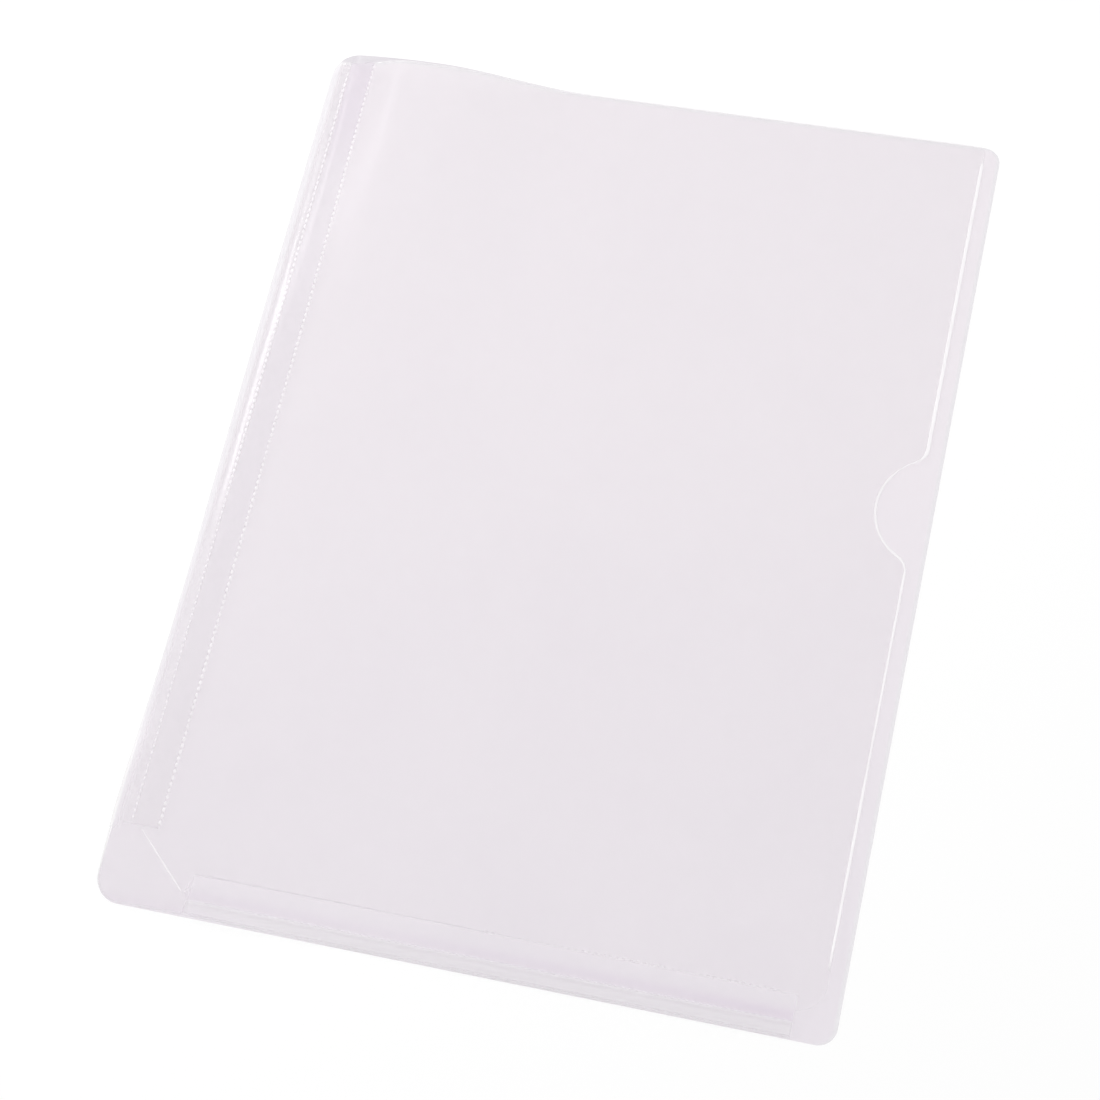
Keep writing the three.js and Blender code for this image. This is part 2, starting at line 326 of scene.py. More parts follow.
# See-through plastic: the group's look on one glossy surface. Its alpha is the density at a face
# turned to the viewer and nothing at a face turned away, so that each film counts once. A ray that
# lights something else meets only a part of it, as light goes through thin film.
def plasticMaterial(name, group, look, bumpStrength):
    shared = {"ior": 1.5, "roughness": 0.35, "bumpDistance": 0.00004, "lightStopped": 0.2}
    material = bpy.data.materials.new(name)
    material.use_nodes = True
    tree = material.node_tree
    shader = tree.nodes["Principled BSDF"]
    shader.inputs["IOR"].default_value = shared["ior"]
    effect = tree.nodes.new("ShaderNodeGroup")
    effect.node_tree = group
    for label, value in look.items():
        effect.inputs[label].default_value = value
    tree.links.new(effect.outputs["Color"], shader.inputs["Base Color"])
    roughness = effect.outputs.get("Roughness") or shared["roughness"]
    join(tree, roughness, shader.inputs["Roughness"])
    bump = tree.nodes.new("ShaderNodeBump")
    bump.inputs["Strength"].default_value = bumpStrength
    bump.inputs["Distance"].default_value = shared["bumpDistance"]
    tree.links.new(effect.outputs["Height"], bump.inputs["Height"])
    tree.links.new(bump.outputs["Normal"], shader.inputs["Normal"])
    geometry = tree.nodes.new("ShaderNodeNewGeometry")
    front = mathNode(tree, "SUBTRACT", 1.0, geometry.outputs["Backfacing"])
    ray = tree.nodes.new("ShaderNodeLightPath")
    lighting = mathNode(tree, "MAXIMUM", ray.outputs["Is Shadow Ray"], ray.outputs["Is Diffuse Ray"])
    thinned = rangeNode(tree, lighting, 0.0, 1.0, 1.0, shared["lightStopped"])
    once = mathNode(tree, "MULTIPLY", front, thinned)
    join(tree, mathNode(tree, "MULTIPLY", once, effect.outputs["Density"]), shader.inputs["Alpha"])
    return material


filmLook = filmGroup()
edgeLook = edgeGroup()
filmBump = 0.08
edgeBump = 0.2
# The share from Tint to Shade along the height (Low) is painted shade of light falling off: the sheets and
# the bottom gusset darker towards the bottom, the left gusset and the flanges darker at their top.
backMaterial = plasticMaterial("backFilm", filmLook, {
    "Tint": (0.59, 0.441, 0.57, 1.0), "Shade": (0.45, 0.31, 0.465, 1.0),
    "Density": 0.3, "Cloud": 0.12, "Low": 1.0,
}, filmBump)
# Dark is the colour of the front film's painted shade bands
frontMaterial = plasticMaterial("frontFilm", filmLook, {
    "Tint": (0.8, 0.76, 0.795, 1.0), "Shade": (0.735, 0.69, 0.735, 1.0),
    "Density": 0.24, "Cloud": 0.5, "Low": 0.2, "Dark": (0.57, 0.42, 0.6, 1.0),
    "Rim": (0.68, 0.645, 0.69, 1.0), "Rim Density": 0.85,
}, filmBump)
gussetMaterial = plasticMaterial("gussetFilm", filmLook, {
    "Tint": (0.79, 0.745, 0.8, 1.0), "Shade": (0.82, 0.78, 0.815, 1.0),
    "Density": 0.3, "Cloud": 0.3, "Low": 1.0,
}, filmBump)
bottomMaterial = plasticMaterial("bottomGussetFilm", filmLook, {
    "Tint": (0.9, 0.855, 0.91, 1.0), "Shade": (0.88, 0.84, 0.89, 1.0),
    "Density": 0.3, "Cloud": 0.3, "Low": 0.7,
}, filmBump)
flangeMaterial = plasticMaterial("flangeFilm", filmLook, {
    "Tint": (0.8, 0.765, 0.8, 1.0), "Shade": (0.81, 0.77, 0.81, 1.0),
    "Density": 0.2, "Cloud": 0.3, "Low": 0.9,
}, filmBump)
# painted highlight: the near white of the front sheet's cut edge
cutHighlightMaterial = plasticMaterial("cutEdgeHighlight", edgeLook, {
    "Light": (1.0, 0.985, 1.0, 1.0), "Dull": (0.96, 0.93, 0.96, 1.0), "Density": 0.95, "Unevenness": 0.15,
}, edgeBump)
weldMaterial = plasticMaterial("weldWhite", edgeLook, {
    "Light": (0.99, 0.96, 0.99, 1.0), "Dull": (0.93, 0.9, 0.93, 1.0), "Density": 0.75, "Unevenness": 0.35,
    "Patches": 70.0,
}, edgeBump)
creaseMaterial = plasticMaterial("creaseWhite", edgeLook, {
    "Light": (1.0, 0.97, 1.0, 1.0), "Dull": (0.93, 0.89, 0.93, 1.0), "Density": 0.82, "Unevenness": 0.3,
    "Patches": 70.0,
}, edgeBump)
faintMaterial = plasticMaterial("weldFaint", edgeLook, {
    "Light": (0.92, 0.88, 0.92, 1.0), "Dull": (0.86, 0.82, 0.86, 1.0), "Density": 0.3, "Unevenness": 0.5,
    "Patches": 50.0,
}, edgeBump)
greyMaterial = plasticMaterial("edgeGrey", edgeLook, {
    "Light": (0.73, 0.738, 0.742, 1.0), "Dull": (0.8, 0.79, 0.81, 1.0), "Density": 0.24, "Unevenness": 0.4,
    "Patches": 40.0,
}, edgeBump)
darkMaterial = plasticMaterial("lineDark", edgeLook, {
    "Light": (0.6, 0.54, 0.61, 1.0), "Dull": (0.7, 0.65, 0.7, 1.0), "Density": 0.3, "Unevenness": 0.4,
    "Patches": 60.0,
}, edgeBump)
print("materials made")

backSheet = {
    "lowerLeftRadius": 9.0, "cornerRadius": 6.0,
    "riseHeight": 6.8, "riseStart": 205.0, "riseEnd": 315.0,  # the bow at the mouth
    "swellStart": 6.0, "swellLength": 23.0, "fallStart": 43.0, "fallLength": 48.0,
    "rimWidth": 0.6, "rimFade": 0.9,  # the greyer band at the right and top edges
    "waist": 0.65, "waistHeight": 112.0, "waistSpread": 45.0,  # the left side's slight draw in
    "waistReach": 12.0, "waistStart": 20.0, "waistStartLength": 20.0,
}
frontSheet = {
    "inset": 5.3, "topRadius": 3.0, "footHeight": 8.8, "footStart": 226.3,
    "openClear": 3.0, "closedClear": 0.3, "leftClose": 90.0, "bottomClose": 60.0,
    "droop": 1.9, "tuck": 0.75, "droopFade": 40.0,  # outside the welds, down to the back sheet
    "bowStart": 185.0, "bowEnd": 315.0, "bowFallStart": 42.0, "bowFallLength": 50.0,
    "bowStep": 2.6, "bowStepStart": 5.5, "bowStepLength": 5.0,
    "domeStart": 270.0, "domeLength": 45.0, "domeWidth": 4.0,  # the step widens outwards at the mouth
    "bowSwell": 3.07, "bowSwellStart": 6.0, "bowSwellLength": 40.0,
    "cornerSlope": 0.1553, "cornerDrop": 2.62,
}
notch = {"radius": 19.3, "depth": 13.2, "fillet": 6.0, "height": 177.5, "halfSpan": 24.0}


# How far a side edge stands in from the straight side at height y: at its rounded lower and upper
# corner, the radius less the half chord of the circle there
def cornerInset(y, bottomRadius):
    topRadius = backSheet["cornerRadius"]
    low = np.clip(bottomRadius - y, 0.0, bottomRadius)
    high = np.clip(y - (pocket["height"] - topRadius), 0.0, topRadius)
    bottom = bottomRadius - np.sqrt(bottomRadius**2 - low**2)
    return bottom + topRadius - np.sqrt(topRadius**2 - high**2)


# How far both films draw in along the left side: most at the waist, fading over the margin
def sideWaist(x, y):
    s = backSheet
    draw = s["waist"] * np.exp(-(((y - s["waistHeight"]) / s["waistSpread"]) ** 2))
    foot = rise((y - s["waistStart"]) / s["waistStartLength"])
    return draw * np.clip(1.0 - x / s["waistReach"], 0.0, 1.0) * foot


# How far the front sheet's right edge stands in at the thumb notch: the circle's chord, and a
# fillet circle at each shoulder
def notchInset(y):
    away = np.abs(y - notch["height"])
    middle = notch["radius"] - notch["depth"]
    reach = notch["radius"] + notch["fillet"]
    drop = math.sqrt(reach**2 - (middle + notch["fillet"]) ** 2)
    meet = drop * notch["radius"] / reach
    circle = np.sqrt(np.maximum(notch["radius"] ** 2 - away**2, 0.0)) - middle
    fillet = notch["fillet"] - np.sqrt(np.maximum(notch["fillet"] ** 2 - (away - drop) ** 2, 0.0))
    return np.where(away < meet, circle, np.where(away < drop, fillet, 0.0))


# The front sheet's right edge: its inset, the notch, a small top corner, and at the foot a round
# cut in to the end of the bottom gusset
def frontRight(y):
    straight = pocket["width"] - frontSheet["inset"]
    radius = frontSheet["topRadius"]
    top = np.clip(y - (pocket["height"] - radius), 0.0, radius)
    corner = radius - np.sqrt(radius**2 - top**2)
    foot = straight - frontSheet["footStart"]
    left = np.clip(frontSheet["footHeight"] + foot - y, 0.0, foot)
    return straight - corner - notchInset(y) - foot + np.sqrt(foot**2 - left**2)


# The height of the back sheet's bow: it swells from the left, falls to the right and fades down
def backRise(x, y):
    s = backSheet
    swell = rise((x - s["swellStart"]) / s["swellLength"])
    fall = 1.0 - rise((x - s["fallStart"]) / s["fallLength"])
    return s["riseHeight"] * swell * fall * rise((y - s["riseStart"]) / (s["riseEnd"] - s["riseStart"]))


# The height of the front sheet's bow: a quick step beside the weld, wider at the mouth, and a slow
# swell, falling to the right and fading down
def frontBow(x, y):
    s = frontSheet
    dome = s["domeWidth"] * rise((y - s["domeStart"]) / s["domeLength"])
    step = s["bowStep"] * rise((x - s["bowStepStart"] + dome) / (s["bowStepLength"] + dome))
    swell = np.clip((x - s["bowSwellStart"]) / s["bowSwellLength"], 0.0, 1.0)
    swell = s["bowSwell"] * (1.0 - (1.0 - swell) ** 2)
    fall = 1.0 - rise((x - s["bowFallStart"]) / s["bowFallLength"])
    return (step + swell) * fall * rise((y - s["bowStart"]) / (s["bowEnd"] - s["bowStart"]))


# The front sheet's upper face: open at the welds and closed over the middle, with the bow, a droop
# outside the welds, and the corner between the gussets down past its fold
def frontTop(x, y):
    s = frontSheet
    leftGap, bottomGap = x / pocket["leftWeld"], y / pocket["bottomWeld"]
    fromLeft = rise((x - pocket["leftWeld"]) / s["leftClose"])
    fromBottom = rise((y - pocket["bottomWeld"]) / s["bottomClose"])
    clear = s["openClear"] + (s["closedClear"] - s["openClear"]) * (fromLeft * fromBottom)
    outside = np.maximum(1.0 - np.minimum(leftGap, bottomGap), 0.0)
    fromFold = (x + y) / math.sqrt(2.0) - pocket["cornerFold"]
    droop = (s["droop"] * outside**1.5 + s["tuck"] * outside**4) * rise(fromFold / s["droopFade"])
    corner = np.clip(-fromFold * s["cornerSlope"], 0.0, s["cornerDrop"])
    return clear - droop + frontBow(x, y) - corner + 2.0 * pocket["film"]


# How far the front sheet's upper face stands above its height beside the folded gussets
def frontLift(x, y):
    return frontTop(x, y) - frontSheet["openClear"] - 2.0 * pocket["film"]


# The surface a set depth under the front sheet's upper face
def underFront(depth):
    return lambda x, y: frontTop(x, y) - depth


# Each span is a start, the length of its rise, an end and the length of its fall
frontBands = {
    # painted shade: a band beside the bottom gusset's weld
    "shadeBandLine": 6.2, "shadeBandOut": 1.0, "shadeBandIn": 2.2, "shadeBandSpan": (31.0, 1.5, 226.8, 1.0),
    "shadeBandPlaces": (32.0, 100.0, 150.0, 190.0, 215.0), "shadeBandSizes": (0.5, 0.45, 0.6, 0.7, 1.0),
    # painted shade along the lower left corner's outer margin
    "margin": 0.35, "marginDepth": 4.5, "marginFade": 3.5, "marginEnd": 60.0, "marginEndFade": 28.0,
    # painted shade over the left gusset's top
    "topShade": 0.5, "topShadeFrom": 260.0, "topShadeLength": 35.0,  # over the left gusset's top
    "topShadeSpan": (7.2, 1.0, 17.0, 1.5),
    "mouthSlant": 0.66, "mouthFade": 0.4, "mouthEnd": 100.0, "mouthEndFade": 25.0,  # the mouth's lip
    "paleWidth": 1.6, "paleFade": 2.0, "paleFoot": 22.5, "paleFootFade": 2.5,  # the rolled left side
    "paleWiden": 0.4, "paleWidenFrom": 45.0, "paleWidenLength": 90.0,
    "palePlaces": (24.0, 38.0, 60.0, 95.0, 130.0), "paleSizes": (0.25, 0.35, 0.85, 0.85, 1.0),
    "bottomPale": 0.55, "bottomPaleHeights": (0.6, 0.5, 5.2, 0.6),
    "bottomPaleSpan": (31.0, 2.0, 227.0, 1.0),
    "shineWidth": 6.3, "shineFade": 0.6, "shineHeights": (120.0, 35.0, 285.0, 35.0),
}


# Painted shade bands of the front sheet: along the bottom gusset's weld, sharp on the outer side and
# fading inwards, along the outer margin of the lower left corner, and over the left gusset's top
def frontShade(x, y):
    s = frontBands
    spread = np.where(y < s["shadeBandLine"], s["shadeBandOut"], s["shadeBandIn"])
    band = np.exp(-(((y - s["shadeBandLine"]) / spread) ** 2))
    band = band * between(x, *s["shadeBandSpan"]) * np.interp(x, s["shadeBandPlaces"], s["shadeBandSizes"])
    margin = rise((s["marginDepth"] - y) / s["marginFade"])
    margin = margin * rise((s["marginEnd"] - x) / s["marginEndFade"])
    top = rise((y - s["topShadeFrom"]) / s["topShadeLength"]) * between(x, *s["topShadeSpan"])
    return np.clip(band + s["margin"] * margin + s["topShade"] * top, 0.0, 1.0)


# The denser lip of the front sheet along the bowed part of its mouth, as wide as the bow is high
# there above the back sheet, times the slant
def mouthRim(x, y):
    s = frontBands
    mouth = np.full_like(y, pocket["height"])
    bow = frontTop(x, mouth) - pocket["film"] - backRise(x, mouth)
    lip = rise((y - mouth + s["mouthSlant"] * bow) / s["mouthFade"])
    return lip * rise((s["mouthEnd"] - x) / s["mouthEndFade"])


# The pale rolled margin down the left side, weaker lower down, and the lighter flange at the bottom
def frontPale(x, y):
    s = frontBands
    width = s["paleWidth"] + s["paleWiden"] * rise((y - s["paleWidenFrom"]) / s["paleWidenLength"])
    across = 1.0 - rise((x - width) / s["paleFade"])
    up = rise((y - s["paleFoot"]) / s["paleFootFade"]) * np.interp(y, s["palePlaces"], s["paleSizes"])
    low = between(y, *s["bottomPaleHeights"]) * between(x, *s["bottomPaleSpan"])
    return np.maximum(across * up, s["bottomPale"] * low)


# The smoother face of the left flange, where the lamp shows
def flangeShine(x, y):
    s = frontBands
    return (1.0 - rise((x - s["shineWidth"]) / s["shineFade"])) * between(y, *s["shineHeights"])


# The back sheet's greyer band: full at its right and top edges, and fading inwards
def backRim(x, y):
    toRight = pocket["width"] - cornerInset(y, backSheet["cornerRadius"]) - x
    toEdge = np.minimum(toRight, pocket["height"] - y)
    return 1.0 - rise((toEdge - backSheet["rimWidth"]) / backSheet["rimFade"])


# Heights of a sheet's grid rows: fine round the corners, with the steps given in between
def sheetRows(*middle):
    low, high = backSheet["lowerLeftRadius"], backSheet["cornerRadius"]
    bottom = low * (1.0 - np.cos(np.linspace(0.0, math.pi / 2.0, 13)))
    top = pocket["height"] - high * (1.0 - np.cos(np.linspace(math.pi / 2.0, 0.0, 11)))
    return np.concatenate([bottom, spaced(low, *middle, pocket["height"] - high)[1:], top[1:]])


rows = sheetRows(4.0)
share = spaced(0.0, 1.5, 60.0, 3.0, 120.0, 5.0, 220.0, 2.0, 236.0, 0.4, 240.0) / 240.0
leftInset = cornerInset(rows, backSheet["lowerLeftRadius"])[:, None]
rightInset = cornerInset(rows, backSheet["cornerRadius"])[:, None]
x = leftInset + share[None, :] * (pocket["width"] - leftInset - rightInset)
y = np.broadcast_to(rows[:, None], x.shape)
x = x + sideWaist(x, y)
backFilm = filmSlab(
    "back_film", x, y, pocket["film"] + backRise(x, y), backMaterial, pocket["film"],
    {"rim": backRim(x, y)},
)
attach(backFilm, "back_sheet")
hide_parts("back_sheet")

# The front sheet's rows are fine along the bottom weld and round the notch. Its columns follow the
# round corners up to leftFollow, and the cut edge from rightFollow on.
frontGrid = {"leftFollow": 40.0, "rightFollow": 180.0}
notchLow, notchHigh = notch["height"] - notch["halfSpan"], notch["height"] + notch["halfSpan"]
straightRight = pocket["width"] - frontSheet["inset"]
rows = sheetRows(0.6, 18.0, 1.5, 60.0, 3.0, notchLow, 0.8, notchHigh, 2.5)
columns = spaced(0.0, 0.5, 16.0, 1.5, 60.0, 2.5, 110.0, 5.0, 200.0, 2.0, 230.0, 0.47, straightRight)
leftShare = np.clip(1.0 - columns / frontGrid["leftFollow"], 0.0, None)
followed = straightRight - frontGrid["rightFollow"]
rightShare = np.clip((columns - frontGrid["rightFollow"]) / followed, 0.0, 1.0)
cornerIn = cornerInset(rows, backSheet["lowerLeftRadius"])[:, None]
cutIn = (straightRight - frontRight(rows))[:, None]
x = columns + cornerIn * leftShare - cutIn * rightShare
y = np.broadcast_to(rows[:, None], x.shape)
x = x + sideWaist(x, y)
frontFilm = filmSlab("front_film", x, y, frontTop(x, y), frontMaterial, pocket["film"], {
    "shade": frontShade(x, y), "rim": mouthRim(x, y), "pale": frontPale(x, y), "shine": flangeShine(x, y),
})
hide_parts("front_sheet", "front_sheet_corner")
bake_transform(frontFilm)
print("sheets made")

strips = {
    "leaf": 8.763, "lowWeld": 0.95, "highWeld": 2.55, "crease": 1.75,  # heights above the table
    "bend": 0.35, "lift": 0.05, "creaseGap": 0.01, "turnReach": 1.2,
    "leftFoot": 26.0, "leftEnd": 314.8, "bottomStart": 31.7, "bottomEnd": 226.3,
}


# Half the section of a V-folded strip: a leaf out from its weld and round half of the inner crease,
# as a closed loop of points with the film's thickness. The side is -1 for the lower leaf and 1 for
# the upper one.
def leafProfile(side, steps=8):
    s = strips
    film = pocket["film"] / 2.0
    weld = s["lowWeld"] if side < 0 else s["highWeld"]
    reach = np.linspace(0.0, s["leaf"] - s["bend"], steps)
    middle = weld + reach / s["leaf"] * (s["crease"] - weld) + side * s["lift"]
    turn = np.linspace(math.pi / 2.0, 0.0, 5)[1:]
    sides = []
    for offset in (film, -film):
        above = np.maximum(side * (middle - s["crease"]) + offset, s["creaseGap"])
        bend = above[-1] * np.stack([np.cos(turn), np.sin(turn)])
        across = np.append(reach, reach[-1] + bend[0])
        sides.append(np.stack([across, s["crease"] + side * np.append(above, bend[1])], axis=-1))
    loop = np.concatenate([sides[0], sides[1][::-1]])
    return loop if side < 0 else loop[::-1]


# A closed leaf: its section carried in a straight line through the stations, with both ends closed
def leaf(name, side, stations, place, material):
    loops = np.stack([place(station, leafProfile(side)) for station in stations])
    count, sides = loops.shape[:2]
    index = np.arange(count * sides).reshape(count, sides)
    half = sides // 2
    around = np.tile(np.arange(sides), count - 1)
    cut = (around == half - 1) | (around == sides - 1)
    faces = [ringQuads(index)]
    for row, step in ((index[0], 1), (index[-1], -1)):
        outside, inside = row[:half], row[half:][::-1]
        faces.append(np.stack([outside[:-1], outside[1:], inside[1:], inside[:-1]], axis=-1)[:, ::step])
    ends = np.ones(2 * (half - 1), bool)
    return meshObject(name, loops.reshape(-1, 3), np.concatenate(faces), material, np.append(cut, ends))


# How far the left strip rises at the bowed mouth: with the back sheet at its lower weld (share 0),
# with the front sheet at its upper one (share 1) and by their mean at the crease
def stripRaise(x, y, share):
    return (1.0 - share) * backRise(x, y) + share * frontLift(x, y)


# The left strip's section stands across x
def leftPlace(y, profile):
    x = pocket["leftWeld"] + profile[:, 0]
    height = strips["highWeld"] - strips["lowWeld"]
    share = np.clip((profile[:, 1] - strips["lowWeld"]) / height, 0.0, 1.0)
    return np.stack([x, np.full(len(x), y), profile[:, 1] + stripRaise(x, y, share)], axis=-1)


# The bottom strip's section stands across y
def bottomPlace(x, profile):
    y = pocket["bottomWeld"] + profile[:, 0]
    return np.stack([np.full(len(y), x), y, profile[:, 1]], axis=-1)


# Each leaf meets the other one half way round at the crease
leftRows = spaced(strips["leftFoot"], 5.0, strips["leftEnd"])
bottomRows = spaced(strips["bottomStart"], 4.0, strips["bottomEnd"])[::-1]
leftFold = (pocket["leftWeld"] + strips["leaf"], pocket["height"] / 2.0, strips["crease"])
bottomMiddle = (strips["bottomStart"] + strips["bottomEnd"]) / 2.0
bottomFold = (bottomMiddle, pocket["bottomWeld"] + strips["leaf"], strips["crease"])
for edge, stations, place, material, fold, across in (
    ("left", leftRows, leftPlace, gussetMaterial, leftFold, (1.0, 0.0, 0.0)),
    ("bottom", bottomRows, bottomPlace, bottomMaterial, bottomFold, (0.0, 1.0, 0.0)),
):
    for face, other, side in (("back", "front", -1), ("front", "back", 1)):
        made = leaf(f"{edge}_gusset_{face}_film", side, stations, place, material)
        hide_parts(f"{edge}_gusset_{face}_leaf")
        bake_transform(made)

# The strips' flanges, welded to the sheets outside the gussets, short of the outer edge
flange = {
    "leftEdge": 3.0, "leftInner": 6.95, "leftStart": 26.2, "leftEnd": 312.5,
    "bottomEdge": 3.9, "bottomInner": 4.95, "bottomStart": 31.9, "bottomEnd": 226.1,
    "thickness": 0.12, "underFront": 0.03, "overBack": 0.16,
}
leftFlange = np.meshgrid(
    spaced(flange["leftEdge"], 0.6, flange["leftInner"]),
    spaced(flange["leftStart"], 4.0, flange["leftEnd"]),
)
bottomFlange = np.meshgrid(
    spaced(flange["bottomStart"], 4.0, flange["bottomEnd"]),
    spaced(flange["bottomEdge"], 0.35, flange["bottomInner"]),
)
for side, (x, y) in (("left", leftFlange), ("bottom", bottomFlange)):
    under = frontTop(x, y) - pocket["film"] - flange["underFront"]
    over = pocket["film"] + flange["overBack"] + backRise(x, y)
    for face, body, top in (("front", "front_sheet", under), ("back", "back_sheet", over)):
        made = filmSlab(f"{side}_{face}_flange_film", x, y, top, flangeMaterial, flange["thickness"])
        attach(made, body)
print("gusset strips made")

# The front sheet's cut edge along the right side and round the notch: a raised bar whose near white is a
# painted highlight. Its size along the side is given at a few heights.
cutEdgeHighlight = {
    "halfWidth": 0.6, "halfHeight": 0.08, "sunk": 0.05, "back": 0.5, "foot": 22.5, "top": 311.0,
    "heights": (22.0, 28.0, 75.0, 90.0, 150.0, 156.0, 187.0, 191.0, 194.0, 198.0, 290.0, 307.0, 311.0),
    "sizes": (0.2, 0.75, 0.85, 0.65, 0.75, 0.65, 0.6, 0.2, 0.35, 1.05, 1.0, 0.9, 0.2),
}
y = spaced(cutEdgeHighlight["foot"], 4.0, notchLow, 0.5, notchHigh, 4.0, cutEdgeHighlight["top"])
rightEdgeHighlight = bar(
    "front_cut_edge_highlight", np.stack([frontRight(y) - cutEdgeHighlight["back"], y], axis=-1), underFront(cutEdgeHighlight["sunk"]),
    cutEdgeHighlight["halfWidth"], cutEdgeHighlight["halfHeight"], cutHighlightMaterial,
    np.interp(y, cutEdgeHighlight["heights"], cutEdgeHighlight["sizes"]),
)
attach(rightEdgeHighlight, "front_sheet")

# The grey line where both sheets end, round the lower left corner and along the bottom
lowerEdge = {
    "inward": 0.4, "halfWidth": 0.4, "halfHeight": 0.08, "sunk": 0.05,
    "top": 24.0, "end": 226.0, "beyond": 2.0, "taper": 10.0, "leastSize": 0.2,
}
turn = np.linspace(math.pi, 1.5 * math.pi, 17)
radius = backSheet["lowerLeftRadius"]
down = spaced(radius + 0.5, 2.0, lowerEdge["top"])[::-1]
along = spaced(radius + 0.5, 4.0, lowerEdge["end"])
x = np.concatenate([
    np.full(len(down), lowerEdge["inward"]), radius + (radius - lowerEdge["inward"]) * np.cos(turn), along,
])
y = np.concatenate([
    down, radius + (radius - lowerEdge["inward"]) * np.sin(turn), np.full(len(along), lowerEdge["inward"]),
])
toEnd = np.minimum(lowerEdge["top"] + lowerEdge["beyond"] - y, lowerEdge["end"] - x)
lowerLine = bar(
    "front_lower_edge", np.stack([x, y], axis=-1), underFront(lowerEdge["sunk"]),
    lowerEdge["halfWidth"], lowerEdge["halfHeight"], greyMaterial,
    np.clip(toEnd / lowerEdge["taper"], lowerEdge["leastSize"], 1.0),
)
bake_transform(lowerLine)

# The weld of the left gusset's front leg, pressed in dots, smaller lower down
leftDots = {
    "pitch": 2.2, "start": 28.0, "end": 308.0, "sunk": 0.05, "halfSizes": (1.0, 0.56, 0.09),
    "lowSize": 0.66, "growFrom": 130.0, "growLength": 30.0,
}
y = np.arange(leftDots["start"], leftDots["end"], leftDots["pitch"])
x = np.full_like(y, pocket["leftWeld"])
grown = rise((y - leftDots["growFrom"]) / leftDots["growLength"])
size = leftDots["lowSize"] + (1.0 - leftDots["lowSize"]) * grown
weldDots = beads(
    "left_weld_dots", np.stack([x, y], axis=-1), underFront(leftDots["sunk"]), (0.0, 1.0),
    [half * size for half in leftDots["halfSizes"]], weldMaterial,
)
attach(weldDots, "front_sheet")

# The left gusset's inner crease, pressed in dots that nearly meet
creaseDots = {
    "x": 15.85, "z": 2.1, "pitch": 2.2, "start": 28.0, "end": 312.5, "halfSizes": (0.88, 0.6, 0.1),
}
y = np.arange(creaseDots["start"], creaseDots["end"], creaseDots["pitch"])
x = np.full_like(y, creaseDots["x"])
leftCrease = beads(
    "left_crease_dots", np.stack([x, y], axis=-1), lambda x, y: creaseDots["z"] + stripRaise(x, y, 0.5),
    (0.0, 1.0), creaseDots["halfSizes"], creaseMaterial,
)
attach(leftCrease, "left_gusset_front_leaf")

# The left strip's cut lower end, a short dark line
stripEnd = {"y": 26.3, "start": 8.2, "end": 15.4, "above": 0.18, "halfWidth": 0.16, "halfHeight": 0.05}


# The surface a set height above the left strip's upper leaf, which slopes from its weld to the crease
def overLeaf(x, y):
    lean = (strips["highWeld"] - strips["crease"]) / strips["leaf"]
    return strips["highWeld"] + stripEnd["above"] - (x - pocket["leftWeld"]) * lean


x = spaced(stripEnd["start"], 0.8, stripEnd["end"])
leftEndLine = bar(
    "left_strip_end", np.stack([x, np.full_like(x, stripEnd["y"])], axis=-1), overLeaf,
    stripEnd["halfWidth"], stripEnd["halfHeight"], darkMaterial,
)
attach(leftEndLine, "left_gusset_front_leaf")

# The bottom gusset's inner crease: a fine dark line, and dots over its right half
bottomCrease = {
    "y": 13.95, "z": 2.0, "halfWidth": 0.24, "halfHeight": 0.05,
    "start": 32.0, "end": 150.0, "places": (32.0, 36.0, 120.0, 150.0), "sizes": (0.4, 1.0, 0.8, 0.1),
    "dotY": 14.0, "dotZ": 2.06, "dotStart": 128.0, "dotEnd": 222.0, "dotPitch": 2.2,
    "dotHalfSizes": (0.7, 0.3, 0.06),
}
x = spaced(bottomCrease["start"], 4.0, bottomCrease["end"])
creaseLine = bar(
    "bottom_crease_line", np.stack([x, np.full_like(x, bottomCrease["y"])], axis=-1),
    lambda x, y: np.full_like(x, bottomCrease["z"]),
    bottomCrease["halfWidth"], bottomCrease["halfHeight"], darkMaterial,
    np.interp(x, bottomCrease["places"], bottomCrease["sizes"]),
)
x = np.arange(bottomCrease["dotStart"], bottomCrease["dotEnd"], bottomCrease["dotPitch"])
bottomDots = beads(
    "bottom_crease_dots", np.stack([x, np.full_like(x, bottomCrease["dotY"])], axis=-1),
    lambda x, y: np.full_like(x, bottomCrease["dotZ"]),
    (1.0, 0.0), bottomCrease["dotHalfSizes"], faintMaterial,
)
for piece in (creaseLine, bottomDots):
    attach(piece, "bottom_gusset_front_leaf")

# The bottom gusset's weld to the front sheet: faint dots
bottomWeld = {"start": 33.0, "end": 225.0, "pitch": 2.2, "sunk": 0.04, "halfSizes": (0.6, 0.3, 0.06)}
x = np.arange(bottomWeld["start"], bottomWeld["end"], bottomWeld["pitch"])
bottomWeldDots = beads(
    "bottom_weld_dots", np.stack([x, np.full_like(x, pocket["bottomWeld"])], axis=-1),
    underFront(bottomWeld["sunk"]), (1.0, 0.0), bottomWeld["halfSizes"], faintMaterial,
)
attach(bottomWeldDots, "front_sheet")

# The cut edge of the bottom strip's front flange, seen through the front sheet as a dark line
flangeLine = {"start": 31.9, "end": 226.3, "under": 0.3, "halfWidth": 0.4, "halfHeight": 0.05}
x = spaced(flangeLine["start"], 4.0, flangeLine["end"])
flangeEdge = bar(
    "bottom_flange_edge", np.stack([x, np.full_like(x, flange["bottomEdge"])], axis=-1),
    underFront(flangeLine["under"]), flangeLine["halfWidth"], flangeLine["halfHeight"], darkMaterial,
)
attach(flangeEdge, "front_sheet")

